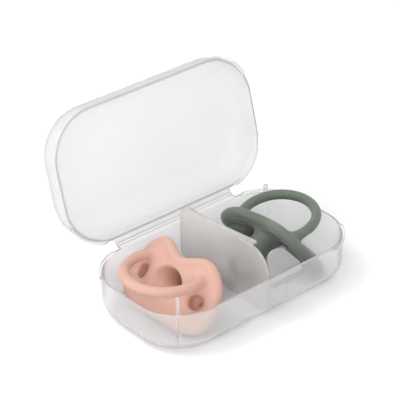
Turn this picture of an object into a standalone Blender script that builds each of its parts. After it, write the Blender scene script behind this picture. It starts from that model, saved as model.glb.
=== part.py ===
"""Two one-piece silicone pacifiers in a hinged travel case.

The case is a clear polypropylene tub with a divider, two locating posts and a latch tab, and a
domed lid on a living hinge.  The lid stands open.  Each compartment holds one pacifier, its handle
towards the end of the case.  Metres, +Z up, origin at the middle of the case's underside.
X runs along the hinge and Y from the latch side to the hinge side.
"""

from math import atan, cos, pi, radians, sin, sqrt

import bmesh
import bpy
from mathutils import Matrix, Vector

MM = 0.001
GAP = 0.3 * MM                      # clearance between neighbouring solids

# Case
CASE_LENGTH = 110.0 * MM
CASE_WIDTH = 61.2 * MM
CORNER_RADIUS = 22.0 * MM           # rounded corners, seen from above
WALL = 1.2 * MM
BASE_HEIGHT = 19.6 * MM
BASE_EDGE_RADIUS = 7.2 * MM
LID_HEIGHT = 16.5 * MM
LID_EDGE_RADIUS = 11.0 * MM
LIP_PROUD = 1.0 * MM                # corner lips that a thumb opens the case by
LIP_HEIGHT = 1.6 * MM
LIP_START_X = 36.8 * MM             # where a corner lip begins along the long side
LIP_END_Y = 17.2 * MM               # and where it ends along the short side

# Living hinge
LID_OPEN_ANGLE = radians(105.6)
HINGE_OFFSET = 2.6 * MM             # axis behind the back wall
HINGE_LENGTH = 66.0 * MM
HINGE_WEB_RADIUS = 0.8 * MM
LEAF_THICKNESS = 1.0 * MM

# Divider, with its heights above the tub's rim
DIVIDER_THICKNESS = 1.2 * MM
DIVIDER_BACK_RISE = 10.4 * MM
DIVIDER_FRONT_RISE = 11.6 * MM
DIVIDER_BACK_RADIUS = 7.0 * MM
DIVIDER_FRONT_RADIUS = 11.5 * MM
LEDGE_WIDTH = 4.2 * MM              # thumb ledge along the top edge
LEDGE_BACK_Y = 20.0 * MM
LEDGE_FRONT_Y = -17.0 * MM
LEDGE_THICKNESS = 1.0 * MM

# Latch tab, rib and locating posts
TAB_RISE = 11.0 * MM
TAB_LEFT = 0.9 * MM
TAB_RIGHT = 18.5 * MM
TAB_ROOT = 6.0 * MM                 # how far the tab's root reaches below the rim
TAB_LEAN = radians(9.0)
TAB_THICKNESS = 1.0 * MM
TAB_SETBACK = 0.5 * MM              # the tab's outer face behind the inner wall, at the rim
TAB_CREST = 3.0 * MM                # the tab's highest point, right of its left edge
TAB_SHOULDER = 8.6 * MM             # where its long slope begins
RIB_X = 9.5 * MM
RIB_WIDTH = 0.8 * MM
RIB_TOP = 0.6 * MM                  # below the rim
RIB_BOTTOM = 13.9 * MM
POST_RADIUS = 1.0 * MM
POST_INSET = 3.2 * MM               # post axis inside the case's outline
POST_FOOT_Z = 2.6 * MM
FRONT_POST_RISE = 7.7 * MM          # above the rim
BACK_POST_RISE = 4.5 * MM
POST_DIRECTION = radians(50.0)      # from a corner's centre towards its post

# Pacifier, in its own frame: +X to its right, +Y to the nose notch, +Z out of the mouth
SHIELD_CURVE = 9.3                  # the shield's wings fall back by this times x squared
SHIELD_THICKNESS = 4.0 * MM
BEAD_RADIUS = 2.3 * MM
NOTCH_Y = 6.9 * MM
PEAK = (13.7 * MM, 11.2 * MM)
SIDE = (22.7 * MM, 1.9 * MM)
LOBE = (21.4 * MM, -14.8 * MM)
CHIN_Y = -17.1 * MM
VENT = (16.8 * MM, -4.7 * MM)
VENT_RADIUS = 3.9 * MM
CAVITY_Y = -2.2 * MM
TEAT_TILT = radians(20.7)
TEAT_NECK_RADIUS = 7.4 * MM
TEAT_WAIST_RADIUS = 5.7 * MM
TEAT_WIDENING = 0.30                # how much wider than high the teat's root and its mouth are
TEAT_WAIST = 8.6 * MM               # distance of the waist from the shield's middle surface
TEAT_BULB = 20.1 * MM               # and of the bulb's centre
TEAT_BULB_RADIUS = 7.8 * MM
TEAT_WALL = 1.6 * MM
BULB_SHARE = 0.75                   # the bulb's sphere starts this share of its radius before its centre
DRILL_LENGTH = 20.0 * MM            # of the cutters for the vents and the mouth
SLAB_REACH = 30.0 * MM              # half width of the slabs that the shield and its cutters come from
ROOM_DEPTH = 12.0 * MM              # how much of the teat or the handle the shield's room cuts away
LEG_HALF_SPACING = 12.8 * MM
LEG_Y = 5.6 * MM
HANDLE_HALF_WIDTH = 20.9 * MM
HANDLE_DEPTH = 26.9 * MM
HANDLE_DROOP = radians(36.9)
HANDLE_RADIUS = 2.3 * MM

# Where each pacifier lies: place of the shield's middle, heading of its front, lean and roll
PACIFIERS = {
    "pink": {"place": (-28.5 * MM, 0.9 * MM, 18.2 * MM), "heading": radians(-88.4),
             "lean": radians(42.0), "roll": radians(0.7), "colour": (0.80, 0.47, 0.37)},
    "green": {"place": (28.3 * MM, 0.4 * MM, 18.5 * MM), "heading": radians(97.9),
              "lean": radians(42.0), "roll": 0.0, "colour": (0.16, 0.19, 0.155)},
}

CASE_COLOUR = (0.80, 0.80, 0.82)
HINGE_AXIS = Vector((0.0, CASE_WIDTH / 2 + HINGE_OFFSET, BASE_HEIGHT + GAP / 2))
INNER_Y = CASE_WIDTH / 2 - WALL


# ---------------------------------------------------------------- scene and small helpers

def clear_scene():
    for old in list(bpy.data.objects):
        bpy.data.objects.remove(old, do_unlink=True)


def make_collection(name):
    collection = bpy.data.collections.new(name)
    bpy.context.scene.collection.children.link(collection)
    return collection


def make_material(name, colour, roughness, alpha=1.0):
    material = bpy.data.materials.new(name)
    material.use_nodes = True
    shader = material.node_tree.nodes["Principled BSDF"]
    shader.inputs["Base Color"].default_value = (*colour, 1.0)
    shader.inputs["Roughness"].default_value = roughness
    shader.inputs["Metallic"].default_value = 0.0
    shader.inputs["Alpha"].default_value = alpha
    return material


def add_object(name, data, collection, parent=None):
    thing = bpy.data.objects.new(name, data)
    collection.objects.link(thing)
    thing.parent = parent
    return thing


def add_empty(name, matrix):
    empty = bpy.data.objects.new(name, None)
    PARTS.objects.link(empty)
    empty.matrix_world = matrix
    return empty


def add_helper(name, data):
    """A cutter, or a shape that is joined to a part."""
    thing = add_object(name, data, HELPERS)
    thing.hide_render = True
    thing.display_type = "WIRE"
    return thing


def bmesh_to_mesh(name, shape):
    bmesh.ops.recalc_face_normals(shape, faces=shape.faces)
    mesh = bpy.data.meshes.new(name)
    shape.to_mesh(mesh)
    shape.free()
    return mesh


def evaluated_mesh(thing, name):
    """The object's shape with its modifiers, or a curve's tube with its caps welded."""
    depsgraph = bpy.context.evaluated_depsgraph_get()
    mesh = bpy.data.meshes.new_from_object(thing.evaluated_get(depsgraph))
    mesh.name = name
    shape = bmesh.new()
    shape.from_mesh(mesh)
    bmesh.ops.remove_doubles(shape, verts=shape.verts, dist=1e-6)
    shape.to_mesh(mesh)
    shape.free()
    return mesh


def combine(thing, operation, other):
    step = thing.modifiers.new(operation.lower() + "_" + other.name, "BOOLEAN")
    step.operation = operation
    step.solver = "EXACT"
    step.object = other


def smooth_shade(mesh):
    mesh.shade_smooth()
    mesh.set_sharp_from_angle(angle=radians(35))


# ---------------------------------------------------------------- outlines and basic shapes

def rounded_outline(corners, steps=6):
    """Points of a polygon whose corners, given as (u, v, radius), are rounded by arcs."""
    points = []
    for index, (u, v, radius) in enumerate(corners):
        here = Vector((u, v))
        before = (Vector(corners[index - 1][:2]) - here).normalized()
        after = (Vector(corners[(index + 1) % len(corners)][:2]) - here).normalized()
        if radius <= 0.0:
            points.append(here)
            continue
        half = before.angle(after) / 2
        bisector = (before + after).normalized()
        centre = here + bisector * (radius / sin(half))
        start = here + before * (radius * cos(half) / sin(half)) - centre
        turn = pi - 2 * half
        side = 1.0 if before.x * after.y - before.y * after.x < 0 else -1.0
        for step in range(steps + 1):
            spin = Matrix.Rotation(side * turn * step / steps, 2)
            points.append(centre + spin @ start)
    return points


def smooth_loop(points, steps=6):
    """A closed Catmull-Rom curve through the points."""
    count = len(points)
    loop = []
    for index in range(count):
        a, b, c, d = (Vector(points[(index + k) % count]) for k in (-1, 0, 1, 2))
        for step in range(steps):
            t = step / steps
            loop.append(0.5 * (2 * b + (c - a) * t + (2 * a - 5 * b + 4 * c - d) * t ** 2
                               + (3 * b - a - 3 * c + d) * t ** 3))
    return loop


def outline_curve(name, points, thickness):
    """A flat filled outline in its own XY plane, as thick as stated."""
    curve = bpy.data.curves.new(name, "CURVE")
    curve.dimensions = "2D"
    curve.fill_mode = "BOTH"
    curve.extrude = thickness / 2
    spline = curve.splines.new("POLY")
    spline.points.add(len(points) - 1)
    for spot, point in zip(spline.points, points):
        spot.co = (point[0], point[1], 0.0, 1.0)
    spline.use_cyclic_u = True
    return curve


def tube_curve(name, points, radius, closed):
    curve = bpy.data.curves.new(name, "CURVE")
    curve.dimensions = "3D"
    curve.bevel_depth = radius
    curve.bevel_resolution = 2
    curve.use_fill_caps = not closed
    spline = curve.splines.new("POLY")
    spline.points.add(len(points) - 1)
    for spot, point in zip(spline.points, points):
        spot.co = (*point, 1.0)
    spline.use_cyclic_u = closed
    return curve


def curve_to_mesh(curve, name):
    holder = bpy.data.objects.new(name, curve)
    HELPERS.objects.link(holder)
    mesh = evaluated_mesh(holder, name)
    bpy.data.objects.remove(holder, do_unlink=True)
    return mesh


def solid_outline(name, points, thickness, matrix):
    """A flat plate with the given outline, as a mesh placed by the matrix."""
    mesh = curve_to_mesh(outline_curve(name, points, thickness), name)
    mesh.transform(matrix)
    return mesh


def box_mesh(name, low, high):
    shape = bmesh.new()
    size = Vector(high) - Vector(low)
    middle = (Vector(high) + Vector(low)) / 2
    place = Matrix.Translation(middle) @ Matrix.Diagonal((*size, 1.0))
    bmesh.ops.create_cube(shape, size=1.0, matrix=place)
    return bmesh_to_mesh(name, shape)


def cylinder_mesh(name, radius, length, matrix, segments=16):
    shape = bmesh.new()
    bmesh.ops.create_cone(shape, cap_ends=True, segments=segments, radius1=radius, radius2=radius,
                          depth=length, matrix=matrix)
    return bmesh_to_mesh(name, shape)


def join_meshes(name, meshes):
    shape = bmesh.new()
    for mesh in meshes:
        shape.from_mesh(mesh)
    return bmesh_to_mesh(name, shape)


def rounded_block(grow, low, high):
    """The case's outline as a block from low to high, its side grown or shrunk by grow."""
    shape = bmesh.new()
    size = (CASE_LENGTH + 2 * grow, CASE_WIDTH + 2 * grow, high - low)
    middle = Vector((0.0, 0.0, (low + high) / 2))
    place = Matrix.Translation(middle) @ Matrix.Diagonal((*size, 1.0))
    bmesh.ops.create_cube(shape, size=1.0, matrix=place)
    upright = [edge for edge in shape.edges
               if abs(edge.verts[0].co.z - edge.verts[1].co.z) > size[2] / 2]
    bmesh.ops.bevel(shape, geom=upright, offset=CORNER_RADIUS + grow, segments=9, profile=0.5,
                    affect="EDGES", clamp_overlap=False)
    return shape


def shell_mesh(name, low, high, edge_radius, closed_z, steps):
    """The outer skin of half the case: the block with one rounded rim edge, open on the other side."""
    shape = rounded_block(0.0, low, high)
    closed = [face for face in shape.faces if all(abs(v.co.z - closed_z) < 1e-6 for v in face.verts)]
    open_side = [face for face in shape.faces
                 if abs(face.normal.z) > 0.9 and face not in closed]
    bmesh.ops.delete(shape, geom=open_side, context="FACES_ONLY")
    rim = [edge for face in closed for edge in face.edges]
    bmesh.ops.bevel(shape, geom=rim, offset=edge_radius, segments=steps, profile=0.5,
                    affect="EDGES", clamp_overlap=False)
    return bmesh_to_mesh(name, shape)


def add_shell(name, low, high, edge_radius, closed_z, steps, material, collection):
    mesh = shell_mesh(name, low, high, edge_radius, closed_z, steps)
    mesh.materials.append(material)
    smooth_shade(mesh)
    thing = add_object(name, mesh, collection)
    wall = thing.modifiers.new("wall", "SOLIDIFY")
    wall.thickness = WALL
    wall.offset = -1.0
    wall.use_even_offset = True
    return thing


# ---------------------------------------------------------------- case

def lip_ring(name, low, high):
    """A band round the rim, kept only at the front right and the two back corners."""
    outer = add_helper(name, bmesh_to_mesh(name, rounded_block(LIP_PROUD, low, high)))
    bore = bmesh_to_mesh(name, rounded_block(-WALL / 2, low - WALL, high + WALL))
    inner = add_helper(name + "_bore", bore)
    reach = CASE_LENGTH
    corners = []
    for side_x, side_y in ((1, -1), (1, 1), (-1, 1)):
        xs = sorted((side_x * LIP_START_X, side_x * reach))
        ys = sorted((side_y * LIP_END_Y, side_y * reach))
        corners.append(box_mesh(name, (xs[0], ys[0], low - WALL), (xs[1], ys[1], high + WALL)))
    mask = add_helper(name + "_mask", join_meshes(name, corners))
    combine(outer, "DIFFERENCE", inner)
    combine(outer, "INTERSECT", mask)
    return outer


def hinge_leaf(name, low):
    """The flat flange that joins a wall to the hinge web."""
    edge = HINGE_AXIS.y - HINGE_WEB_RADIUS - GAP
    mesh = box_mesh(name, (-HINGE_LENGTH / 2, INNER_Y + WALL / 2, low),
                    (HINGE_LENGTH / 2, edge, low + LEAF_THICKNESS))
    return add_helper(name, mesh)


def latch_tab():
    """A thin tongue that leans in from the front wall, steep on its left and sloping on its right."""
    rise = TAB_RISE
    outline = rounded_outline([
        (TAB_LEFT, -TAB_ROOT, 0.0),
        (TAB_RIGHT, -TAB_ROOT, 0.0),
        (TAB_RIGHT, 0.0, 3.0 * MM),
        (TAB_LEFT + TAB_SHOULDER, 0.96 * rise, 4.5 * MM),
        (TAB_LEFT + TAB_CREST, 1.03 * rise, 3.0 * MM),
        (TAB_LEFT, 0.90 * rise, 1.6 * MM),
    ], steps=5)
    lean = Matrix.Rotation(radians(90.0) - TAB_LEAN, 4, "X")
    root = Vector((0.0, -INNER_Y + TAB_SETBACK + TAB_THICKNESS / 2, BASE_HEIGHT))
    mesh = solid_outline("latch_tab", outline, TAB_THICKNESS, Matrix.Translation(root) @ lean)
    return add_helper("latch_tab", mesh)


def wall_rib():
    mesh = box_mesh("wall_rib", (RIB_X - RIB_WIDTH / 2, -INNER_Y - WALL / 3, BASE_HEIGHT - RIB_BOTTOM),
                    (RIB_X + RIB_WIDTH / 2, -INNER_Y + RIB_WIDTH, BASE_HEIGHT - RIB_TOP))
    return add_helper("wall_rib", mesh)


def locating_post(name, side, rise):
    """A pin beside a corner of the wall, tied to it by a web below the rim; side is 1 or -1."""
    corner = Vector((CASE_LENGTH / 2 - CORNER_RADIUS, CASE_WIDTH / 2 - CORNER_RADIUS, 0.0))
    outward = Vector((cos(POST_DIRECTION), sin(POST_DIRECTION), 0.0))
    axis = side * (corner + outward * (CORNER_RADIUS - POST_INSET))
    top = BASE_HEIGHT + rise
    middle = Matrix.Translation((axis.x, axis.y, (POST_FOOT_Z + top) / 2))
    post = add_helper(name, cylinder_mesh(name, POST_RADIUS, top - POST_FOOT_Z, middle, 12))
    web = box_mesh(name + "_web", (0.0, -POST_RADIUS / 2, BASE_EDGE_RADIUS / 2 + POST_RADIUS),
                   (POST_INSET - WALL / 2, POST_RADIUS / 2, BASE_HEIGHT - POST_RADIUS))
    spin = POST_DIRECTION if side > 0 else POST_DIRECTION + pi
    web.transform(Matrix.Translation((axis.x, axis.y, 0.0)) @ Matrix.Rotation(spin, 4, "Z"))
    combine(post, "UNION", add_helper(name + "_web", web))
    return post


def build_base(material):
    base = add_shell("case_base", 0.0, BASE_HEIGHT, BASE_EDGE_RADIUS, 0.0, 5, material, PARTS)
    combine(base, "UNION", lip_ring("base_lips", BASE_HEIGHT - LIP_HEIGHT, BASE_HEIGHT))
    combine(base, "UNION", hinge_leaf("base_leaf", BASE_HEIGHT - LEAF_THICKNESS))
    combine(base, "UNION", latch_tab())
    combine(base, "UNION", wall_rib())
    combine(base, "UNION", locating_post("front_post", -1, FRONT_POST_RISE))
    combine(base, "UNION", locating_post("back_post", 1, BACK_POST_RISE))
    return base


def build_lid(material):
    """The lid is drawn closed, and an empty on the hinge's axis turns it open."""
    low = BASE_HEIGHT + GAP
    high = low + LID_HEIGHT
    closed = add_shell("closed_lid", low, high, LID_EDGE_RADIUS, high, 6, material, HELPERS)
    closed.hide_render = True
    combine(closed, "UNION", lip_ring("lid_lips", low, low + LIP_HEIGHT))
    combine(closed, "UNION", hinge_leaf("lid_leaf", low))
    mesh = evaluated_mesh(closed, "case_lid")
    mesh.transform(Matrix.Translation(-HINGE_AXIS))
    opening = Matrix.Rotation(-LID_OPEN_ANGLE, 4, "X")
    hinge = add_empty("lid_hinge", Matrix.Translation(HINGE_AXIS) @ opening)
    return add_object("case_lid", mesh, PARTS, hinge)


def build_hinge_web(material):
    """The thin bending web, a round bead along the axis between the two leaves."""
    along = Matrix.Rotation(radians(90.0), 4, "Y")
    mesh = cylinder_mesh("hinge_web", HINGE_WEB_RADIUS, HINGE_LENGTH, along, 12)
    mesh.materials.append(material)
    smooth_shade(mesh)
    web = add_object("hinge_web", mesh, PARTS)
    web.location = HINGE_AXIS
    return web


def build_divider(material):
    """The upright wall between the compartments, with a thumb ledge along its top edge."""
    reach = INNER_Y - GAP
    floor = WALL + GAP
    foot_radius = BASE_EDGE_RADIUS - WALL
    outline = rounded_outline([
        (-reach, floor, foot_radius),
        (reach, floor, foot_radius),
        (reach, BASE_HEIGHT + DIVIDER_BACK_RISE, DIVIDER_BACK_RADIUS),
        (-reach, BASE_HEIGHT + DIVIDER_FRONT_RISE, DIVIDER_FRONT_RADIUS),
    ], steps=7)
    upright = Matrix(((0, 0, 1, 0), (1, 0, 0, 0), (0, 1, 0, 0), (0, 0, 0, 1)))
    plate = solid_outline("divider", outline, DIVIDER_THICKNESS, upright)
    plate.materials.append(material)
    divider = add_object("divider", plate, PARTS)
    slope = atan((DIVIDER_FRONT_RISE - DIVIDER_BACK_RISE) / (2 * reach))
    height = BASE_HEIGHT + (DIVIDER_BACK_RISE + DIVIDER_FRONT_RISE) / 2 - 0.7 * LEDGE_THICKNESS
    edge = rounded_outline([
        (0.0, LEDGE_BACK_Y, 0.0),
        (0.0, LEDGE_FRONT_Y, 0.0),
        (LEDGE_WIDTH, LEDGE_FRONT_Y, 0.8 * MM),
    ], steps=3)
    ledge = solid_outline("thumb_ledge", edge, LEDGE_THICKNESS,
                          Matrix.Translation((0.0, 0.0, height)) @ Matrix.Rotation(-slope, 4, "X"))
    combine(divider, "UNION", add_helper("thumb_ledge", ledge))
    return divider


# ---------------------------------------------------------------- pacifier

def shield_outline():
    """The heart-shaped outline, as a closed curve through its eight turning points."""
    half = [PEAK, SIDE, LOBE]
    mirrored = [(-x, y) for x, y in reversed(half)]
    return smooth_loop([(0.0, NOTCH_Y), *half, (0.0, CHIN_Y), *mirrored])


def fall(x):
    """How far the shield's middle surface lies back at a distance x from its centre line."""
    return -SHIELD_CURVE * x * x


def curved_slab(name, low, high):
    """A slab between two heights, bent to the shield's curve."""
    bpy.ops.mesh.primitive_grid_add(x_subdivisions=20, y_subdivisions=1, size=2 * SLAB_REACH)
    slab = bpy.context.object
    slab.name = name
    for collection in list(slab.users_collection):
        collection.objects.unlink(slab)
    HELPERS.objects.link(slab)
    slab.hide_render = True
    slab.display_type = "WIRE"
    for vertex in slab.data.vertices:
        vertex.co.z = fall(vertex.co.x) + (low + high) / 2
    wall = slab.modifiers.new("slab", "SOLIDIFY")
    wall.thickness = high - low
    wall.offset = 0.0
    return slab


def rim_tube(name, radius):
    """A closed tube along the shield's rim."""
    rim = [(point[0], point[1], fall(point[0])) for point in shield_outline()]
    return add_helper(name, curve_to_mesh(tube_curve(name, rim, radius, True), name))


def shield_mesh():
    half = SHIELD_THICKNESS / 2
    shield = curved_slab("shield", -half, half)
    heart = solid_outline("heart", shield_outline(), CASE_WIDTH, Matrix.Identity(4))
    combine(shield, "INTERSECT", add_helper("heart", heart))
    combine(shield, "UNION", rim_tube("bead", BEAD_RADIUS))
    for side in (-1, 1):
        slope = atan(2 * SHIELD_CURVE * VENT[0])
        spot = Matrix.Translation((side * VENT[0], VENT[1], fall(VENT[0])))
        turn = Matrix.Rotation(side * slope, 4, "Y")
        drill = cylinder_mesh("vent", VENT_RADIUS, DRILL_LENGTH, spot @ turn, 20)
        combine(shield, "DIFFERENCE", add_helper("vent", drill))
    oval = Matrix.Diagonal((1.0 + TEAT_WIDENING, 1.0, 1.0, 1.0))
    oval = Matrix.Translation((0.0, CAVITY_Y, 0.0)) @ oval
    drill = cylinder_mesh("mouth", TEAT_NECK_RADIUS - TEAT_WALL, DRILL_LENGTH, oval, 24)
    combine(shield, "DIFFERENCE", add_helper("mouth", drill))
    return evaluated_mesh(shield, "shield")


def teat_radius(distance):
    """Outer radius of the teat at a distance from the shield: a neck that swells into the bulb."""
    from_bulb = distance - TEAT_BULB
    if from_bulb > -BULB_SHARE * TEAT_BULB_RADIUS:
        return sqrt(max(TEAT_BULB_RADIUS ** 2 - from_bulb ** 2, 0.0))
    return TEAT_WAIST_RADIUS + (TEAT_NECK_RADIUS - TEAT_WAIST_RADIUS) * root_share(distance)


def root_share(distance):
    """1 at the teat's root, easing to 0 at its waist."""
    return max(0.0, 1.0 - distance / TEAT_WAIST) ** 2


def teat_mesh():
    """A hollow bulb on a neck, turned about its own axis and open towards the shield."""
    tip = TEAT_BULB + TEAT_BULB_RADIUS
    stations = [0.0, 0.3 * TEAT_WAIST, 0.6 * TEAT_WAIST, TEAT_WAIST, 1.4 * TEAT_WAIST]
    stations += [TEAT_BULB - TEAT_BULB_RADIUS * cos(radians(angle)) for angle in range(45, 180, 15)]
    outer = [(teat_radius(station), -station) for station in stations] + [(0.0, -tip)]
    inner = [(teat_radius(station) - TEAT_WALL, -station) for station in stations[:-2]]
    inner += [(0.0, -tip + TEAT_WALL)]
    profile = bpy.data.meshes.new("teat_profile")
    points = [(x, 0.0, z) for x, z in outer + inner[::-1]]
    steps = [index for index in range(len(points)) if index != len(outer) - 1]
    edges = [(index, (index + 1) % len(points)) for index in steps]
    profile.from_pydata(points, edges, [])
    turned = add_helper("teat_profile", profile)
    screw = turned.modifiers.new("turn", "SCREW")
    screw.steps = 20
    screw.render_steps = 20
    screw.use_merge_vertices = True
    screw.merge_threshold = 1e-5
    body = evaluated_mesh(turned, "teat")
    for vertex in body.vertices:
        vertex.co.x *= 1.0 + TEAT_WIDENING * root_share(-vertex.co.z)
    body.transform(Matrix.Translation((0.0, CAVITY_Y, 0.0)) @ Matrix.Rotation(TEAT_TILT, 4, "X"))
    teat = add_helper("teat", body)
    room = curved_slab("teat_room", -SHIELD_THICKNESS / 2 - GAP, ROOM_DEPTH)
    combine(teat, "DIFFERENCE", room)
    combine(teat, "DIFFERENCE", rim_tube("bead_room", BEAD_RADIUS + GAP))
    return evaluated_mesh(teat, "teat")


def handle_path():
    """An omega loop from one leg to the other, drooping from the shield's front."""
    steps = 28
    path = []
    for step in range(steps + 1):
        angle = pi * step / steps
        reach = HANDLE_DEPTH * sin(angle)
        flare = (HANDLE_HALF_WIDTH - LEG_HALF_SPACING) * sqrt(sin(angle) if 0 < step < steps else 0.0)
        path.append(Vector(((LEG_HALF_SPACING + flare) * cos(angle),
                            LEG_Y - reach * sin(HANDLE_DROOP),
                            fall(LEG_HALF_SPACING) + reach * cos(HANDLE_DROOP))))
    return path


def handle_mesh():
    mesh = curve_to_mesh(tube_curve("handle", handle_path(), HANDLE_RADIUS, False), "handle")
    handle = add_helper("handle", mesh)
    room = curved_slab("handle_room", -ROOM_DEPTH, SHIELD_THICKNESS / 2 + GAP)
    combine(handle, "DIFFERENCE", room)
    return evaluated_mesh(handle, "handle")


def build_pacifiers():
    """Both pacifiers come from one mould, so they share their three meshes."""
    shapes = {"shield": shield_mesh(), "teat": teat_mesh(), "handle": handle_mesh()}
    for name, pose in PACIFIERS.items():
        silicone = make_material(name + "_silicone", pose["colour"], 0.55)
        roll = Matrix.Rotation(pose["roll"], 4, "Z")
        stand = Matrix.Rotation(radians(90.0) - pose["lean"], 4, "X")
        turn = Matrix.Rotation(pose["heading"], 4, "Z")
        place = Matrix.Translation(pose["place"])
        holder = add_empty(name + "_pacifier", place @ turn @ stand @ roll)
        for part, shape in shapes.items():
            mesh = shape.copy()
            mesh.materials.clear()
            mesh.materials.append(silicone)
            smooth_shade(mesh)
            add_object(name + "_" + part, mesh, PARTS, holder)


clear_scene()
PARTS = make_collection("pacifier_set")
HELPERS = make_collection("helpers")
frosted = make_material("frosted_polypropylene", CASE_COLOUR, 0.3, 0.45)
build_base(frosted)
build_divider(frosted)
build_hinge_web(frosted)
build_lid(frosted)
build_pacifiers()
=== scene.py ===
"""An open frosted travel case with two one-piece silicone pacifiers, dressed around the frame."""

from math import atan, cos, pi, radians, sin, sqrt

import bmesh
import bpy
import numpy as np
from mathutils import Matrix, Vector


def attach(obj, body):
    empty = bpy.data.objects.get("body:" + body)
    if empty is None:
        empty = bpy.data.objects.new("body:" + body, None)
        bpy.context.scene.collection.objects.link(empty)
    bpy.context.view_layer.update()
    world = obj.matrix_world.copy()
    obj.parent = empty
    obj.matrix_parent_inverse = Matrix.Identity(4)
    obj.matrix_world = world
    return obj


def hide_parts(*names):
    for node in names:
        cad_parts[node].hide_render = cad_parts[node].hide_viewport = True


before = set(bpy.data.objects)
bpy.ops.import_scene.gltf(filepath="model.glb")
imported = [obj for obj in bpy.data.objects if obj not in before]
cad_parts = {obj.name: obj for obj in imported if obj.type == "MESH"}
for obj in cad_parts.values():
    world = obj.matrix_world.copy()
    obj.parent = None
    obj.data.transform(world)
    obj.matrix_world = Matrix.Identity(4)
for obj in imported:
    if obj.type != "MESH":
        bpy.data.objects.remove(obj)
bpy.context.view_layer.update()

MM = 0.001

# Case, as in the CAD
CASE_LENGTH = 110.0 * MM
CASE_WIDTH = 61.2 * MM
CORNER_RADIUS = 22.0 * MM
WALL = 1.2 * MM
BASE_HEIGHT = 19.6 * MM
BASE_EDGE_RADIUS = 7.2 * MM
LID_HEIGHT = 16.5 * MM
LID_EDGE_RADIUS = 11.0 * MM
RIM_GAP = 0.3 * MM
RIM_ROUND = 0.35 * MM
INNER_Y = CASE_WIDTH / 2 - WALL

# Thumb lips on the rim, and how their underside rounds back to the wall
LIP_PROUD = 1.0 * MM
LIP_HEIGHT = 1.6 * MM
LIP_START_X = 36.8 * MM
LIP_END_Y = 17.2 * MM
LIP_TAPER = 1.2 * MM
LIP_CORNERS = ((1, -1), (1, 1), (-1, 1))
LIP_UNDERSIDE = ((0.45 * MM, 1.0), (0.12 * MM, 0.85), (0.0, 0.0))   # height left, share of the lip

# How finely the case is drawn
CORNER_STEPS = 30
SIDE_SPACING = 1.1 * MM
EDGE_STEPS = 12
WALL_STEPS = 5
RIM_STEPS = 4
BEVEL_STEPS = 3
TURN_SIDES = 28
SMOOTH_ANGLE = radians(32.0)

# Living hinge
OPEN_ANGLE = radians(105.6)
HINGE_LENGTH = 66.0 * MM
HINGE_OFFSET = 2.6 * MM
WEB_RADIUS = 0.8 * MM
LEAF_THICKNESS = 1.0 * MM
LEAF_STOP = 0.3 * WEB_RADIUS              # how far before the axis each leaf ends
LEAF_SETBACK = 0.02 * MM                  # keeps a leaf's face off the plane of the rim
LEAF_SOFT = 0.15 * MM
HINGE_AXIS = Vector((0.0, CASE_WIDTH / 2 + HINGE_OFFSET, BASE_HEIGHT + RIM_GAP / 2))

# Divider and its thumb ledge
DIVIDER_THICKNESS = 1.2 * MM
DIVIDER_BACK_RISE = 10.4 * MM
DIVIDER_FRONT_RISE = 11.6 * MM
DIVIDER_BACK_RADIUS = 7.0 * MM
DIVIDER_FRONT_RADIUS = 11.5 * MM
DIVIDER_SOFT = 0.35 * MM
DIVIDER_STEPS = 16
LEDGE_WIDTH = 4.2 * MM
LEDGE_OVERLAP = 0.2 * MM
LEDGE_BACK_Y = 20.0 * MM
LEDGE_FRONT_Y = -17.0 * MM
LEDGE_THICKNESS = 1.0 * MM
LEDGE_SINK = 0.7 * LEDGE_THICKNESS
LEDGE_CORNER = 0.8 * MM
LEDGE_SOFT = 0.25 * MM
LEDGE_STEPS = 6

# Latch tab: its outline runs from the root up its right side, over shoulder and crest, to the left
TAB_RISE = 11.0 * MM
TAB_ROOT = 6.0 * MM
TAB_ROOT_RADIUS = 0.4 * MM
TAB_RIGHT = 18.5 * MM
TAB_RIGHT_RADIUS = 3.0 * MM
TAB_SHOULDER = 8.6 * MM
TAB_SHOULDER_RISE = 0.96 * TAB_RISE
TAB_SHOULDER_RADIUS = 4.5 * MM
TAB_CREST = 3.0 * MM
TAB_CREST_RISE = 1.03 * TAB_RISE
TAB_CREST_RADIUS = 3.0 * MM
TAB_LEFT = 0.9 * MM
TAB_LEFT_RISE = 0.90 * TAB_RISE
TAB_LEFT_RADIUS = 1.6 * MM
TAB_LEAN = radians(9.0)
TAB_THICKNESS = 1.0 * MM
TAB_SETBACK = 0.5 * MM
TAB_SOFT = 0.25 * MM
TAB_STEPS = 8

# Wall rib and locating posts
RIB_X = 9.5 * MM
RIB_WIDTH = 0.8 * MM
RIB_TOP = 0.6 * MM
RIB_BOTTOM = 13.9 * MM
RIB_SOFT = 0.2 * MM
POST_RADIUS = 1.0 * MM
POST_INSET = 3.2 * MM
POST_FOOT_Z = 2.6 * MM
FRONT_POST_RISE = 7.7 * MM
BACK_POST_RISE = 4.5 * MM
POST_DIRECTION = radians(50.0)
POST_WEB_SOFT = 0.15 * MM
PIN_SOFT = 0.4                            # rounding of a pin's ends, as a share of its radius
ARC_CUT = 0.3                             # how far a quarter arc's middle stays inside its corner

# Pacifier, in millimetres in its own frame: +X right, +Y to the nose notch, +Z out of the mouth
SHIELD_CURVE = 0.0093
SHIELD_HALF = 2.0
BEAD_RADIUS = 2.3
BEAD_FILLET = 1.6
OUTLINE = ((0.0, 6.9), (13.7, 11.2), (22.7, 1.9), (21.4, -14.8), (0.0, -17.1))
OUTLINE_STEPS = 14

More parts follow.
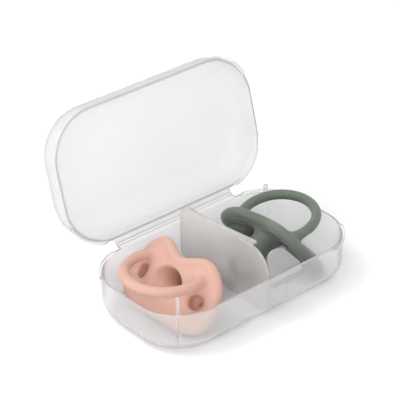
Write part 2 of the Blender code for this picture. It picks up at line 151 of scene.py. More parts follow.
# Vents: a raised boss behind the shield, and a hole with a flared mouth and a narrow back. The
# flare and the throat each change the hole's radius by a slope, from a height over the shield's
# middle, within a range.
VENT_X = 16.8
VENT_Y = -4.7
VENT_RADIUS = 3.9
VENT_REACH = 7.0
VENT_FILLET = 1.4
FLARE_START = 1.4
FLARE_SLOPE = 0.8
FLARE_RANGE = (-0.3, 0.4)
THROAT_START = -3.2
THROAT_SLOPE = 1.8
THROAT_RANGE = (0.0, 3.1)
BOSS_WIDTH = 2.4
BOSS_DEPTH = 2.6
BOSS_HALF_HEIGHT = 3.1
BOSS_FILLET = 2.4

# Teat, measured along its own tilted axis from the shield's middle
CAVITY_Y = -2.2
TEAT_TILT = radians(20.7)
TEAT_NECK = 7.4
TEAT_WAIST = 5.7
TEAT_WIDENING = 0.30                      # how much wider than high the teat's root is
TEAT_ROOT = -0.6                          # where the neck's own solid starts
TEAT_ROOT_LIMIT = 1.3                     # where the root stops widening; 1 is the shield's middle
TEAT_SINK = 1.0                           # how far behind the shield's middle the neck starts
TEAT_FILLET = 4.5
TEAT_WALL = 1.6
WAIST_AT = 8.6
BULB_AT = 20.1
BULB_RADIUS = 7.8
BULB_FILLET = 2.5
HOLLOW_START = -4.0                       # in front of the shield, so that the mouth is open
HOLLOW_FILLET = 2.0
MOUTH_FILLET = 1.3

# Handle
LEG_X = 12.8
LEG_Y = 5.6
HANDLE_HALF_WIDTH = 20.9
HANDLE_DEPTH = 26.9
HANDLE_DROOP = radians(36.9)
HANDLE_RADIUS = 2.3
HANDLE_FILLET = 2.8
HANDLE_STEPS = 40

# Grids on which the pacifier is sampled
PITCH = 0.4
FIELD_LOW = (-27.0, -21.0, -32.5)
FIELD_HIGH = (27.0, 20.0, 24.0)
TABLE_STEP = 0.25
TABLE_U = (-32.0, 32.0)
TABLE_V = (-26.0, 24.0)
FOOT_PASSES = 3                           # rounds of closing in on the shield curve's nearest place
SMOOTHING_PASSES = 4
SMOOTHING_FACTOR = 0.5

# Where each pacifier lies: place in millimetres, then heading, lean and roll in degrees
POSES = {
    "pink": ((-28.5, 0.9, 18.2), -88.4, 42.0, 0.7),
    "green": ((28.3, 0.4, 18.5), 97.9, 42.0, 0.0),
}

# Plastics: dark and light tint, transmission, roughness
PLASTICS = {
    "frosted_polypropylene": ((0.985, 0.98, 0.985), (1.0, 0.995, 1.0), 0.79, 0.21),
    # painted shade: the lid gets a darker, less clear copy of the case plastic so that it reads
    # greyer than the base; the real lid is the same plastic
    "shaded_lid_polypropylene": ((0.93, 0.925, 0.935), (0.97, 0.965, 0.975), 0.70, 0.21),
    # painted light: the divider gets a whiter, warmer and more diffuse copy of the case plastic,
    # standing in for the light that shines through it from behind; the real divider is the same
    # plastic
    "lit_divider_polypropylene": ((0.99, 0.98, 0.96), (1.0, 0.99, 0.975), 0.74, 0.34),
}
PLASTIC_IOR = 1.2
PLASTIC_TINT = (25.0, 1.0)                # a noise is given by its scale and detail
PLASTIC_FROST = (40.0, 1.0)
PLASTIC_FROST_SPREAD = 0.03
PLASTIC_RIPPLE = (45.0, 0.0)
PLASTIC_RELIEF = (0.15, 0.1 * MM)         # a relief is given by its strength and distance

# Silicones: dark and light tint, how far each colour travels inside, sheen
SILICONES = {
    "pink": ((0.63, 0.375, 0.30), (0.67, 0.405, 0.33), (1.0, 0.45, 0.30), 0.08),
    "green": ((0.125, 0.148, 0.12), (0.145, 0.168, 0.14), (0.6, 0.8, 0.6), 0.25),
}
SILICONE_IOR = 1.41
SILICONE_TINT = (120.0, 3.0)
SILICONE_MATT = (400.0, 2.0)
SILICONE_ROUGHNESS = (0.46, 0.58)
SILICONE_RIPPLE = (150.0, 1.0)
SILICONE_RELIEF = (0.12, 0.1 * MM)
SILICONE_GRAIN = (3000.0, 3.0)
SILICONE_GRAIN_RELIEF = (0.12, 0.03 * MM)
SUBSURFACE_WEIGHT = 0.25
SUBSURFACE_SCALE = 1.5 * MM
SHEEN_ROUGHNESS = 0.5

# Studio, in metres and watts
WHITE = (1.0, 1.0, 1.0, 1.0)
WORLD_STRENGTH = 0.72
INDIRECT_CLAMP = 2.0
FLOOR_HALF = 4.0
FLOOR_DROP = 0.05 * MM
FLOOR_TINT = (8.0, 2.0)
FLOOR_DARK = (0.93, 0.93, 0.93)
FLOOR_LIGHT = (0.95, 0.95, 0.95)
FLOOR_ROUGHNESS = 0.6
FLOOR_GLOW = 0.03
LIGHT_TARGET = Vector((0.0, 0.0, 0.02))
LIGHTS = {                                # place, side and power
    "key": ((-0.55, 0.55, 1.05), 0.7, 6.0),
    "top": ((-0.25, 0.15, 1.2), 0.8, 2.0),
    "front": ((-0.65, -0.60, 0.45), 0.6, 3.2),
}

# Camera
CAMERA_AZIMUTH = radians(-39.988)
CAMERA_ELEVATION = radians(31.700)
CAMERA_ROLL = radians(-0.516)
CAMERA_TARGET = Vector((13.06, 31.55, 25.0)) * MM
CAMERA_DISTANCE = 775.26 * MM
CAMERA_SENSOR = 36.0
CAMERA_LENS = 155.19
CAMERA_CLIP = (0.05, 20.0)


# ---------------------------------------------------------------- meshes

def add_object(name, data):
    thing = bpy.data.objects.new(name, data)
    bpy.context.scene.collection.objects.link(thing)
    return thing


def finish_mesh(name, shape):
    bmesh.ops.recalc_face_normals(shape, faces=shape.faces)
    mesh = bpy.data.meshes.new(name)
    shape.to_mesh(mesh)
    shape.free()
    return mesh


def bake(thing):
    """Applies the object's modifiers."""
    depsgraph = bpy.context.evaluated_depsgraph_get()
    mesh = bpy.data.meshes.new_from_object(thing.evaluated_get(depsgraph))
    thing.modifiers.clear()
    thing.data = mesh


def smooth(thing):
    thing.data.shade_smooth()
    thing.data.set_sharp_from_angle(angle=SMOOTH_ANGLE)


def unite(thing, others):
    """Joins the meshes to the thing as one closed solid."""
    tools = []
    for index, mesh in enumerate(others):
        tool = add_object("tool", mesh)
        step = thing.modifiers.new("unite%d" % index, "BOOLEAN")
        step.operation = "UNION"
        step.solver = "EXACT"
        step.object = tool
        tools.append(tool)
    bake(thing)
    for tool in tools:
        bpy.data.objects.remove(tool, do_unlink=True)


def soften(shape, edges, width):
    bmesh.ops.bevel(shape, geom=edges, offset=width, segments=BEVEL_STEPS, profile=0.5,
                    affect="EDGES", clamp_overlap=True)


def rounded_outline(corners, steps):
    """Points of a polygon whose corners, given as (u, v, radius), are rounded by arcs."""
    points = []
    for index, (u, v, radius) in enumerate(corners):
        here = Vector((u, v))
        before = (Vector(corners[index - 1][:2]) - here).normalized()
        after = (Vector(corners[(index + 1) % len(corners)][:2]) - here).normalized()
        if radius <= 0.0:
            points.append(here)
            continue
        half = before.angle(after) / 2
        bisector = (before + after).normalized()
        centre = here + bisector * (radius / sin(half))
        start = here + before * (radius * cos(half) / sin(half)) - centre
        side = 1.0 if before.x * after.y - before.y * after.x < 0 else -1.0
        for step in range(steps + 1):
            spin = Matrix.Rotation(side * (pi - 2 * half) * step / steps, 2)
            points.append(centre + spin @ start)
    return points


def plate(name, outline, thickness, matrix, edge):
    """A flat plate of the given outline with softened edges."""
    shape = bmesh.new()
    ring = [shape.verts.new((point[0], point[1], -thickness / 2)) for point in outline]
    bottom = shape.faces.new(ring)
    shape.normal_update()
    moved = bmesh.ops.extrude_face_region(shape, geom=[bottom])
    for item in moved["geom"]:
        if isinstance(item, bmesh.types.BMVert):
            item.co.z += thickness
    bmesh.ops.recalc_face_normals(shape, faces=shape.faces)
    rims = [side for side in shape.edges
            if abs(side.verts[0].co.z - side.verts[1].co.z) < thickness / 4]
    soften(shape, rims, edge)
    mesh = finish_mesh(name, shape)
    mesh.transform(matrix)
    return mesh


def box_mesh(name, low, high, edge):
    """A box between two corners with softened edges."""
    shape = bmesh.new()
    size = Vector(high) - Vector(low)
    middle = (Vector(high) + Vector(low)) / 2
    stretch = Matrix.Diagonal((*size, 1.0))
    bmesh.ops.create_cube(shape, size=1.0, matrix=Matrix.Translation(middle) @ stretch)
    soften(shape, list(shape.edges), edge)
    return finish_mesh(name, shape)


def pin(name, radius, low, high, matrix):
    """A round bar along Z from low to high with rounded ends."""
    soft = PIN_SOFT * radius
    cut = ARC_CUT * soft
    profile = [(0.0, low), (radius - soft, low), (radius - cut, low + cut), (radius, low + soft),
               (radius, high - soft), (radius - cut, high - cut), (radius - soft, high),
               (0.0, high)]
    shape = bmesh.new()
    rings = []
    for across, height in profile:
        if across == 0.0:
            rings.append([shape.verts.new((0.0, 0.0, height))])
            continue
        turns = [2 * pi * k / TURN_SIDES for k in range(TURN_SIDES)]
        rings.append([shape.verts.new((across * cos(turn), across * sin(turn), height))
                      for turn in turns])
    for lower, upper in zip(rings, rings[1:]):
        for k in range(TURN_SIDES):
            nearby = (k + 1) % TURN_SIDES
            if len(lower) == 1:
                shape.faces.new((lower[0], upper[nearby], upper[k]))
            elif len(upper) == 1:
                shape.faces.new((lower[k], lower[nearby], upper[0]))
            else:
                shape.faces.new((lower[k], lower[nearby], upper[nearby], upper[k]))
    mesh = finish_mesh(name, shape)
    mesh.transform(matrix)
    return mesh


# ---------------------------------------------------------------- case

def case_skeleton():
    """The centres that the outline's rounded corners turn about, and the normal at each step."""
    half_x = CASE_LENGTH / 2 - CORNER_RADIUS
    half_y = CASE_WIDTH / 2 - CORNER_RADIUS
    centres, normals = [], []
    corners = [(half_x, half_y), (-half_x, half_y), (-half_x, -half_y), (half_x, -half_y)]
    for index, (x, y) in enumerate(corners):
        for step in range(CORNER_STEPS):
            angle = pi / 2 * (index + step / CORNER_STEPS)
            centres.append((x, y))
            normals.append((cos(angle), sin(angle)))
        next_x, next_y = corners[(index + 1) % 4]
        length = abs(next_x - x) + abs(next_y - y)
        count = int(length / SIDE_SPACING)
        angle = pi / 2 * (index + 1)
        for step in range(count):
            part = step / count
            centres.append((x + (next_x - x) * part, y + (next_y - y) * part))
            normals.append((cos(angle), sin(angle)))
    return np.array(centres), np.array(normals)


def ease(value):
    value = np.clip(value, 0.0, 1.0)
    return value * value * (3 - 2 * value)


def lip_share(places):
    """1 where a thumb lip stands out from the rim and 0 elsewhere, with short tapers."""
    share = np.zeros(len(places))
    for side_x, side_y in LIP_CORNERS:
        along = ease((side_x * places[:, 0] - LIP_START_X) / LIP_TAPER)
        across = ease((side_y * places[:, 1] - LIP_END_Y) / LIP_TAPER)
        share = np.maximum(share, along * across)
    return share


def wall_profile(depth, edge_radius):
    """The wall's cut from the flat's inside, over the rim, to the flat's outside.

    Each point is (inset, distance from the rim, share of the lip).
    """
    inner = edge_radius - WALL
    straight = depth - edge_radius
    profile = [(edge_radius, depth - WALL, 0.0)]
    for step in range(1, EDGE_STEPS + 1):
        angle = pi / 2 * (1 - step / EDGE_STEPS)
        profile.append((edge_radius - inner * cos(angle), straight + inner * sin(angle), 0.0))
    for step in range(1, WALL_STEPS):
        profile.append((WALL, straight * (1 - step / WALL_STEPS), 0.0))
    for step in range(RIM_STEPS + 1):
        angle = pi / 2 * step / RIM_STEPS
        profile.append((WALL - RIM_ROUND + RIM_ROUND * cos(angle),
                        RIM_ROUND - RIM_ROUND * sin(angle), 0.0))
    for step in range(RIM_STEPS + 1):
        angle = pi / 2 * step / RIM_STEPS
        profile.append((RIM_ROUND - RIM_ROUND * sin(angle),
                        RIM_ROUND - RIM_ROUND * cos(angle), 1.0))
    for left, share in LIP_UNDERSIDE:
        profile.append((0.0, LIP_HEIGHT - left, share))
    for step in range(1, WALL_STEPS):
        profile.append((0.0, LIP_HEIGHT + (straight - LIP_HEIGHT) * step / WALL_STEPS, 0.0))
    for step in range(EDGE_STEPS + 1):
        angle = pi / 2 * step / EDGE_STEPS
        profile.append((edge_radius * (1 - cos(angle)),
                        depth - edge_radius * (1 - sin(angle)), 0.0))
    return profile


def half_case(name, rim_z, depth, edge_radius, up):
    """Half the case as one closed wall that follows the wall's profile all the way round."""
    centres, normals = case_skeleton()
    lips = lip_share(centres + normals * CORNER_RADIUS)
    shape = bmesh.new()
    rings = []
    for inset, down, share in wall_profile(depth, edge_radius):
        out = CORNER_RADIUS - inset + share * LIP_PROUD * lips
        spots = centres + normals * out[:, None]
        z = rim_z + (down if up else -down)
        rings.append([shape.verts.new((x, y, z)) for x, y in spots])
    count = len(centres)
    for inner_ring, outer_ring in zip(rings, rings[1:]):
        for k in range(count):
            after = (k + 1) % count
            shape.faces.new((inner_ring[k], inner_ring[after], outer_ring[after], outer_ring[k]))
    shape.faces.new(rings[0])
    shape.faces.new(rings[-1])
    return add_object(name, finish_mesh(name, shape))


def hinge_leaf(low):
    return box_mesh("leaf", (-HINGE_LENGTH / 2, INNER_Y + WALL / 2, low),
                    (HINGE_LENGTH / 2, HINGE_AXIS.y - LEAF_STOP, low + LEAF_THICKNESS), LEAF_SOFT)


def latch_tab():
    outline = rounded_outline([
        (TAB_LEFT, -TAB_ROOT, TAB_ROOT_RADIUS),
        (TAB_RIGHT, -TAB_ROOT, TAB_ROOT_RADIUS),
        (TAB_RIGHT, 0.0, TAB_RIGHT_RADIUS),
        (TAB_LEFT + TAB_SHOULDER, TAB_SHOULDER_RISE, TAB_SHOULDER_RADIUS),
        (TAB_LEFT + TAB_CREST, TAB_CREST_RISE, TAB_CREST_RADIUS),
        (TAB_LEFT, TAB_LEFT_RISE, TAB_LEFT_RADIUS),
    ], TAB_STEPS)
    lean = Matrix.Rotation(radians(90.0) - TAB_LEAN, 4, "X")
    root = Vector((0.0, -INNER_Y + TAB_SETBACK + TAB_THICKNESS / 2, BASE_HEIGHT))
    return plate("tab", outline, TAB_THICKNESS, Matrix.Translation(root) @ lean, TAB_SOFT)


def wall_rib():
    return box_mesh("rib", (RIB_X - RIB_WIDTH / 2, -INNER_Y - WALL / 3, BASE_HEIGHT - RIB_BOTTOM),
                    (RIB_X + RIB_WIDTH / 2, -INNER_Y + RIB_WIDTH, BASE_HEIGHT - RIB_TOP), RIB_SOFT)


def post_parts(side, rise):
    """A locating post in a corner, and the web that holds it to the wall."""
    corner = Vector((CASE_LENGTH / 2 - CORNER_RADIUS, CASE_WIDTH / 2 - CORNER_RADIUS, 0.0))
    outward = Vector((cos(POST_DIRECTION), sin(POST_DIRECTION), 0.0))
    axis = side * (corner + outward * (CORNER_RADIUS - POST_INSET))
    post = pin("post", POST_RADIUS, POST_FOOT_Z, BASE_HEIGHT + rise, Matrix.Translation(axis))
    web = box_mesh("web", (0.0, -POST_RADIUS / 2, BASE_EDGE_RADIUS / 2 + POST_RADIUS),
                   (POST_INSET - WALL / 2, POST_RADIUS / 2, BASE_HEIGHT - POST_RADIUS),
                   POST_WEB_SOFT)
    spin = POST_DIRECTION if side > 0 else POST_DIRECTION + pi
    web.transform(Matrix.Translation(axis) @ Matrix.Rotation(spin, 4, "Z"))
    return [post, web]


def divider_mesh():
    reach = INNER_Y - RIM_GAP
    floor = WALL + RIM_GAP
    outline = rounded_outline([
        (-reach, floor, BASE_EDGE_RADIUS - WALL),
        (reach, floor, BASE_EDGE_RADIUS - WALL),
        (reach, BASE_HEIGHT + DIVIDER_BACK_RISE, DIVIDER_BACK_RADIUS),
        (-reach, BASE_HEIGHT + DIVIDER_FRONT_RISE, DIVIDER_FRONT_RADIUS),
    ], DIVIDER_STEPS)
    upright = Matrix(((0, 0, 1, 0), (1, 0, 0, 0), (0, 1, 0, 0), (0, 0, 0, 1)))
    return plate("divider", outline, DIVIDER_THICKNESS, upright, DIVIDER_SOFT)


def ledge_mesh():
    """The thumb ledge along the divider's sloping top."""
    reach = INNER_Y - RIM_GAP
    slope = atan((DIVIDER_FRONT_RISE - DIVIDER_BACK_RISE) / (2 * reach))
    height = BASE_HEIGHT + (DIVIDER_BACK_RISE + DIVIDER_FRONT_RISE) / 2 - LEDGE_SINK
    outline = rounded_outline([
        (-LEDGE_OVERLAP, LEDGE_BACK_Y, 0.0),
        (-LEDGE_OVERLAP, LEDGE_FRONT_Y, 0.0),
        (LEDGE_WIDTH, LEDGE_FRONT_Y, LEDGE_CORNER),
    ], LEDGE_STEPS)
    matrix = Matrix.Translation((0.0, 0.0, height)) @ Matrix.Rotation(-slope, 4, "X")
    return plate("ledge", outline, LEDGE_THICKNESS, matrix, LEDGE_SOFT)


def build_case(plastics):
    plastic = plastics["frosted_polypropylene"]
    base = half_case("case_base_skin", BASE_HEIGHT, BASE_HEIGHT, BASE_EDGE_RADIUS, False)
    extras = [hinge_leaf(BASE_HEIGHT - LEAF_THICKNESS - LEAF_SETBACK), latch_tab(), wall_rib()]
    extras += post_parts(-1, FRONT_POST_RISE) + post_parts(1, BACK_POST_RISE)
    unite(base, extras)
    smooth(base)
    dress(base, plastic, "base", "frosted_polypropylene", "case_base")

    low = BASE_HEIGHT + RIM_GAP
    lid = half_case("case_lid_skin", low, LID_HEIGHT, LID_EDGE_RADIUS, True)
    unite(lid, [hinge_leaf(low + LEAF_SETBACK)])
    swing = Matrix.Rotation(-OPEN_ANGLE, 4, "X")
    lid.data.transform(Matrix.Translation(HINGE_AXIS) @ swing @ Matrix.Translation(-HINGE_AXIS))
    smooth(lid)
    # the lid wears the darker copy of the case plastic, which is painted shade
    dress(lid, plastics["shaded_lid_polypropylene"], "lid", "frosted_polypropylene", "case_lid")

    along = Matrix.Translation(HINGE_AXIS) @ Matrix.Rotation(radians(90.0), 4, "Y")
    bead = pin("hinge_web_skin", WEB_RADIUS, -HINGE_LENGTH / 2, HINGE_LENGTH / 2, along)
    web = add_object("hinge_web_skin", bead)
    smooth(web)
    dress(web, plastic, "base", "frosted_polypropylene", "hinge_web")

    divider = add_object("divider_skin", divider_mesh())
    unite(divider, [ledge_mesh()])
    smooth(divider)
    # the divider wears the brightened copy of the case plastic, which is painted light
    dress(divider, plastics["lit_divider_polypropylene"], "base", "frosted_polypropylene", "divider")


# ---------------------------------------------------------------- pacifier as a distance field

def blend_union(a, b, width):
    """The union of two solids, given by their distances, with a fillet about as wide as stated."""
    share = np.clip(0.5 + 0.5 * (b - a) / width, 0.0, 1.0)
    return b + (a - b) * share - width * share * (1 - share)


def blend_cut(a, b, width):
    """The first solid without the second, with a fillet about as wide as stated."""
    return -blend_union(-a, b, width)


def outline_points():
    """The heart outline as a closed Catmull-Rom curve through its turning points."""
    right = list(OUTLINE)
    loop = right + [(-x, y) for x, y in reversed(right[1:-1])]
    points = []
    for index in range(len(loop)):
        a, b, c, d = (np.array(loop[(index + k) % len(loop)]) for k in (-1, 0, 1, 2))
        for step in range(OUTLINE_STEPS):
            t = step / OUTLINE_STEPS
            points.append(0.5 * (2 * b + (c - a) * t + (2 * a - 5 * b + 4 * c - d) * t ** 2
                                 + (3 * b - a - 3 * c + d) * t ** 3))
    return np.array(points)


def arc_length(x):
    """Length along the shield's curve from its centre line."""
    slope = 2 * SHIELD_CURVE * x
    return 0.5 * x * np.sqrt(1 + slope ** 2) + np.arcsinh(slope) / (4 * SHIELD_CURVE)


def segment_distance(px, py, pz, path):
    """Distance from points to a chain of segments; the path is an (n, 3) array."""
    best = np.full(px.shape, 1e9, dtype=np.float32)
    for a, b in zip(path[:-1], path[1:]):
        ab = b - a
        t = ((px - a[0]) * ab[0] + (py - a[1]) * ab[1] + (pz - a[2]) * ab[2]) / float(ab @ ab)
        t = np.clip(t, 0.0, 1.0)
        gap = ((px - a[0] - t * ab[0]) ** 2 + (py - a[1] - t * ab[1]) ** 2
               + (pz - a[2] - t * ab[2]) ** 2)
        best = np.minimum(best, gap)
    return np.sqrt(best)


def outline_table():
    """Signed distance to the heart outline on a grid of length along the curve and height."""
    points = outline_points()
    points = np.column_stack([arc_length(points[:, 0]), points[:, 1]])
    us = np.arange(*TABLE_U, TABLE_STEP)
    vs = np.arange(*TABLE_V, TABLE_STEP)
    u, v = np.meshgrid(us, vs, indexing="ij")
    closed = np.vstack([points, points[:1]])
    flat = np.column_stack([closed, np.zeros(len(closed))])
    gap = segment_distance(u, v, np.zeros_like(u), flat)
    inside = np.zeros(u.shape, dtype=bool)
    for (x0, y0), (x1, y1) in zip(closed[:-1], closed[1:]):
        if y0 == y1:
            continue
        crosses = (y0 > v) != (y1 > v)
        inside ^= crosses & (u < x0 + (v - y0) * (x1 - x0) / (y1 - y0))
    return us, vs, np.where(inside, -gap, gap)


def sample_table(us, vs, table, u, v):
    """Bilinear reading of the table; places outside it take its border's value."""
    i = np.clip((u - us[0]) / TABLE_STEP, 0, len(us) - 1.001)
    j = np.clip((v - vs[0]) / TABLE_STEP, 0, len(vs) - 1.001)
    i0 = i.astype(int)
    j0 = j.astype(int)
    fi = i - i0
    fj = j - j0
    return ((table[i0, j0] * (1 - fi) + table[i0 + 1, j0] * fi) * (1 - fj)
            + (table[i0, j0 + 1] * (1 - fi) + table[i0 + 1, j0 + 1] * fi) * fj)


def handle_path():
    """The handle's centre line, from one leg round to the other."""
    path = []
    root = -SHIELD_CURVE * LEG_X ** 2
    for step in range(HANDLE_STEPS + 1):
        angle = pi * step / HANDLE_STEPS
        reach = HANDLE_DEPTH * sin(angle)
        flare = (HANDLE_HALF_WIDTH - LEG_X) * sqrt(sin(angle))
        path.append(((LEG_X + flare) * cos(angle), LEG_Y - reach * sin(HANDLE_DROOP),
                     root + reach * cos(HANDLE_DROOP)))
    return np.array(path)


def shield_coordinates(x, z):
    """For each point, the length along the shield's curve and the signed distance from it."""
    near = x.copy()
    for _ in range(FOOT_PASSES):
        slope = 2 * SHIELD_CURVE * near
        rise = (z + SHIELD_CURVE * near ** 2) / np.sqrt(1 + slope ** 2)
        near = x - rise * slope / np.sqrt(1 + slope ** 2)
    slope = 2 * SHIELD_CURVE * near
    return arc_length(near), (z + SHIELD_CURVE * near ** 2) * np.sqrt(1 + slope ** 2)


def pacifier_field(x, y, z):
    """Signed distance to the pacifier: shield with its bead, hollow teat, vents and handle."""
    along, off = shield_coordinates(x, z)
    edge = sample_table(*outline_table(), along, y)
    across = np.abs(off) - SHIELD_HALF
    slab = (np.minimum(np.maximum(edge, across), 0.0)
            + np.hypot(np.maximum(edge, 0.0), np.maximum(across, 0.0)))
    bead = np.hypot(edge, off) - BEAD_RADIUS
    body = blend_union(slab, bead, BEAD_FILLET)

    t = (y - CAVITY_Y) * sin(TEAT_TILT) - z * cos(TEAT_TILT)
    lift = (y - CAVITY_Y) * cos(TEAT_TILT) + z * sin(TEAT_TILT)
    near_root = np.clip(1.0 - t / WAIST_AT, 0.0, TEAT_ROOT_LIMIT)
    oval = np.hypot(x / (1.0 + TEAT_WIDENING * near_root ** 2), lift)
    neck_radius = TEAT_WAIST + (TEAT_NECK - TEAT_WAIST) * near_root ** 2
    neck = np.maximum(np.maximum(oval - neck_radius, TEAT_ROOT - t), t - BULB_AT)
    neck = np.maximum(neck, off + TEAT_SINK)             # nothing of it stands out of the front
    from_bulb = np.hypot(np.hypot(x, lift), t - BULB_AT)
    teat = blend_union(neck, from_bulb - BULB_RADIUS, BULB_FILLET)
    body = blend_union(body, teat, TEAT_FILLET)

    from_vents = [np.hypot(along - side * arc_length(VENT_X), y - VENT_Y) - VENT_RADIUS
                  for side in (-1, 1)]
    for from_vent in from_vents:
        boss = np.maximum(from_vent - BOSS_WIDTH, np.abs(off + BOSS_DEPTH) - BOSS_HALF_HEIGHT)
        body = blend_union(body, boss, BOSS_FILLET)

    loop = segment_distance(x, y, z, handle_path()) - HANDLE_RADIUS
    body = blend_union(body, loop, HANDLE_FILLET)

    bore = np.maximum(np.maximum(oval - (neck_radius - TEAT_WALL), t - BULB_AT), HOLLOW_START - t)
    hollow = blend_union(bore, from_bulb - (BULB_RADIUS - TEAT_WALL), HOLLOW_FILLET)
    body = blend_cut(body, hollow, MOUTH_FILLET)

    taper = (np.clip((FLARE_START - off) * FLARE_SLOPE, *FLARE_RANGE)
             + np.clip((THROAT_START - off) * THROAT_SLOPE, *THROAT_RANGE))
    for from_vent in from_vents:
        vent = np.maximum(from_vent + taper, np.abs(off) - VENT_REACH)
        body = blend_cut(body, vent, VENT_FILLET)
    return body


def surface_net(field, origin, pitch):
    """Quads along the zero of a sampled distance field, with one point in each cell it crosses."""
    inside = field < 0
    corners = [(i, j, k) for i in (0, 1) for j in (0, 1) for k in (0, 1)]
    cells = tuple(size - 1 for size in field.shape)

    def corner(values, shift):
        return values[tuple(slice(s, s + n) for s, n in zip(shift, cells))]

    held = sum(corner(inside, shift).astype(np.int8) for shift in corners)
    active = np.argwhere((held > 0) & (held < len(corners)))
    numbers = np.full(cells, -1, dtype=np.int64)
    numbers[tuple(active.T)] = np.arange(len(active))
    total = np.zeros((len(active), 3))
    hits = np.zeros(len(active))
    for a in corners:
        for axis in range(3):
            if a[axis]:
                continue
            b = tuple(value + (index == axis) for index, value in enumerate(a))
            va = field[tuple((active + a).T)]
            vb = field[tuple((active + b).T)]
            crossed = (va < 0) != (vb < 0)
            share = np.where(crossed, va / np.where(crossed, va - vb, 1.0), 0.0)
            place = np.array(a, dtype=float)[None, :].repeat(len(active), axis=0)
            place[:, axis] += share
            total += place * crossed[:, None]
            hits += crossed
    points = (active + total / hits[:, None]) * pitch + origin
    quads = []
    for axis in range(3):
        u, v = (axis + 1) % 3, (axis + 2) % 3
        low = [slice(1, -1)] * 3
        low[axis] = slice(0, -1)
        high = list(low)
        high[axis] = slice(1, None)
        first = inside[tuple(low)]
        second = inside[tuple(high)]
        spots = np.argwhere(first != second)
        starts = first[tuple(spots.T)]
        spots = spots + np.array([0 if index == axis else 1 for index in range(3)])
        around = []
        for du, dv in ((-1, -1), (0, -1), (0, 0), (-1, 0)):
            cell = spots.copy()
            cell[:, u] += du
            cell[:, v] += dv
            around.append(numbers[tuple(cell.T)])
        faces = np.column_stack(around)
        faces[~starts] = faces[~starts][:, ::-1]
        quads.append(faces)
    return points, np.vstack(quads)


def pacifier_mesh():
    low = np.array(FIELD_LOW)
    sizes = np.ceil((np.array(FIELD_HIGH) - low) / PITCH).astype(int)
    ticks = [low[k] + PITCH * np.arange(sizes[k]) for k in range(3)]
    x, y, z = np.meshgrid(*[tick.astype(np.float32) for tick in ticks], indexing="ij")
    points, quads = surface_net(pacifier_field(x, y, z), low, PITCH)
    mesh = bpy.data.meshes.new("pacifier")
    mesh.from_pydata((points * MM).tolist(), [], quads.tolist())
    shape = bmesh.new()
    shape.from_mesh(mesh)
    for _ in range(SMOOTHING_PASSES):
        bmesh.ops.smooth_vert(shape, verts=shape.verts, factor=SMOOTHING_FACTOR,
                              use_axis_x=True, use_axis_y=True, use_axis_z=True)
    bmesh.ops.recalc_face_normals(shape, faces=shape.faces)
    shape.to_mesh(mesh)
    shape.free()
    return mesh


def build_pacifiers(silicones):
    mould = pacifier_mesh()
    for name, (place, heading, lean, roll) in POSES.items():
        mesh = mould.copy()
        spin = Matrix.Rotation(radians(roll), 4, "Z")
        stand = Matrix.Rotation(radians(90.0 - lean), 4, "X") @ spin
        turn = Matrix.Rotation(radians(heading), 4, "Z")
        mesh.transform(Matrix.Translation(Vector(place) * MM) @ turn @ stand)
        mesh.shade_smooth()
        skin = add_object(name + "_pacifier_skin", mesh)
        nodes = [name + "_" + part for part in ("shield", "teat", "handle")]
        dress(skin, silicones[name], name + "_pacifier", name + "_silicone", *nodes)


# ---------------------------------------------------------------- materials

def new_material(name):
    material = bpy.data.materials.new(name)
    material.use_nodes = True
    return material, material.node_tree, material.node_tree.nodes["Principled BSDF"]


def noise(tree, scale, detail):
    where = tree.nodes.new("ShaderNodeTexCoord")
    cloud = tree.nodes.new("ShaderNodeTexNoise")
    cloud.inputs["Scale"].default_value = scale
    cloud.inputs["Detail"].default_value = detail
    tree.links.new(where.outputs["Object"], cloud.inputs["Vector"])
    return cloud.outputs["Fac"]


def ramp(tree, source, dark, light):
    """Maps the source to a colour between dark and light."""
    node = tree.nodes.new("ShaderNodeValToRGB")
    node.color_ramp.elements[0].color = (*dark, 1.0)
    node.color_ramp.elements[1].color = (*light, 1.0)
    tree.links.new(source, node.inputs["Fac"])
    return node.outputs["Color"]


def span(tree, source, low, high):
    """Maps the source to a value between low and high."""
    node = tree.nodes.new("ShaderNodeMapRange")
    node.inputs["To Min"].default_value = low
    node.inputs["To Max"].default_value = high
    tree.links.new(source, node.inputs["Value"])
    return node.outputs["Result"]


def bump(tree, shader, sources):
    """Adds fine relief; each source is (height, (strength, distance))."""
    normal = None
    for height, (strength, distance) in sources:
        node = tree.nodes.new("ShaderNodeBump")
        node.inputs["Strength"].default_value = strength
        node.inputs["Distance"].default_value = distance
        tree.links.new(height, node.inputs["Height"])
        if normal is not None:
            tree.links.new(normal, node.inputs["Normal"])
        normal = node.outputs["Normal"]
    tree.links.new(normal, shader.inputs["Normal"])


def frosted_plastic(name, dark, light, transmission, rough):
    material, tree, shader = new_material(name)
    tint = ramp(tree, noise(tree, *PLASTIC_TINT), dark, light)
    tree.links.new(tint, shader.inputs["Base Color"])
    frost = span(tree, noise(tree, *PLASTIC_FROST),
                 rough - PLASTIC_FROST_SPREAD, rough + PLASTIC_FROST_SPREAD)
    tree.links.new(frost, shader.inputs["Roughness"])
    bump(tree, shader, [(noise(tree, *PLASTIC_RIPPLE), PLASTIC_RELIEF)])
    shader.inputs["IOR"].default_value = PLASTIC_IOR
    shader.inputs["Transmission Weight"].default_value = transmission
    return material


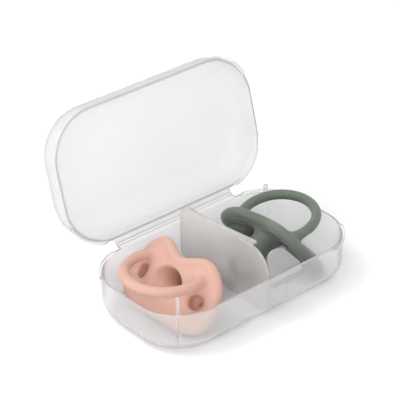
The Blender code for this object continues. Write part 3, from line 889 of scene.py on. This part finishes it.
def silicone(name, dark, light, travel, sheen):
    material, tree, shader = new_material(name)
    tint = ramp(tree, noise(tree, *SILICONE_TINT), dark, light)
    tree.links.new(tint, shader.inputs["Base Color"])
    matt = span(tree, noise(tree, *SILICONE_MATT), *SILICONE_ROUGHNESS)
    tree.links.new(matt, shader.inputs["Roughness"])
    bump(tree, shader, [(noise(tree, *SILICONE_RIPPLE), SILICONE_RELIEF),
                        (noise(tree, *SILICONE_GRAIN), SILICONE_GRAIN_RELIEF)])
    shader.inputs["IOR"].default_value = SILICONE_IOR
    shader.inputs["Subsurface Weight"].default_value = SUBSURFACE_WEIGHT
    shader.inputs["Subsurface Radius"].default_value = travel
    shader.inputs["Subsurface Scale"].default_value = SUBSURFACE_SCALE
    shader.inputs["Sheen Weight"].default_value = sheen
    shader.inputs["Sheen Roughness"].default_value = SHEEN_ROUGHNESS
    return material


def dress(piece, material, body, slot, *nodes):
    piece.data.materials.clear()
    piece.data.materials.append(material)
    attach(piece, body)
    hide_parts(*nodes)


# ---------------------------------------------------------------- studio

def area_light(name, place, side, power):
    data = bpy.data.lights.new(name, "AREA")
    data.shape = "RECTANGLE"
    data.size = side
    data.size_y = side
    data.energy = power
    lamp = add_object(name, data)
    lamp.location = place
    lamp.rotation_euler = (LIGHT_TARGET - Vector(place)).to_track_quat("-Z", "Y").to_euler()


def build_studio():
    shape = bmesh.new()
    bmesh.ops.create_grid(shape, x_segments=2, y_segments=2, size=FLOOR_HALF)
    floor = add_object("studio_floor", finish_mesh("studio_floor", shape))
    floor.location.z = -FLOOR_DROP
    material, tree, shader = new_material("studio_white")
    tint = ramp(tree, noise(tree, *FLOOR_TINT), FLOOR_DARK, FLOOR_LIGHT)
    tree.links.new(tint, shader.inputs["Base Color"])
    shader.inputs["Roughness"].default_value = FLOOR_ROUGHNESS
    shader.inputs["Emission Color"].default_value = WHITE
    shader.inputs["Emission Strength"].default_value = FLOOR_GLOW
    floor.data.materials.append(material)

    world = bpy.data.worlds.new("studio_world")
    bpy.context.scene.world = world
    world.use_nodes = True
    sky = world.node_tree.nodes["Background"]
    sky.inputs["Color"].default_value = WHITE
    sky.inputs["Strength"].default_value = WORLD_STRENGTH
    for name, (place, side, power) in LIGHTS.items():
        area_light(name, place, side, power)


def build_camera():
    data = bpy.data.cameras.new("camera")
    data.sensor_width = CAMERA_SENSOR
    data.lens = CAMERA_LENS
    data.clip_start, data.clip_end = CAMERA_CLIP
    camera = add_object("camera", data)
    back = Vector((sin(CAMERA_AZIMUTH) * cos(CAMERA_ELEVATION),
                   -cos(CAMERA_AZIMUTH) * cos(CAMERA_ELEVATION), sin(CAMERA_ELEVATION)))
    right = Vector((cos(CAMERA_AZIMUTH), sin(CAMERA_AZIMUTH), 0.0))
    up = back.cross(right)
    tilted_right = right * cos(CAMERA_ROLL) + up * sin(CAMERA_ROLL)
    tilted_up = up * cos(CAMERA_ROLL) - right * sin(CAMERA_ROLL)
    turn = Matrix((tilted_right, tilted_up, back)).transposed().to_4x4()
    camera.matrix_world = Matrix.Translation(CAMERA_TARGET + back * CAMERA_DISTANCE) @ turn
    bpy.context.scene.camera = camera


bpy.context.scene.view_settings.view_transform = "Standard"
bpy.context.scene.cycles.sample_clamp_indirect = INDIRECT_CLAMP
plastics = {name: frosted_plastic(name, *look) for name, look in PLASTICS.items()}
silicones = {name: silicone(name + "_silicone", *look) for name, look in SILICONES.items()}
build_case(plastics)
build_pacifiers(silicones)
build_studio()
build_camera()
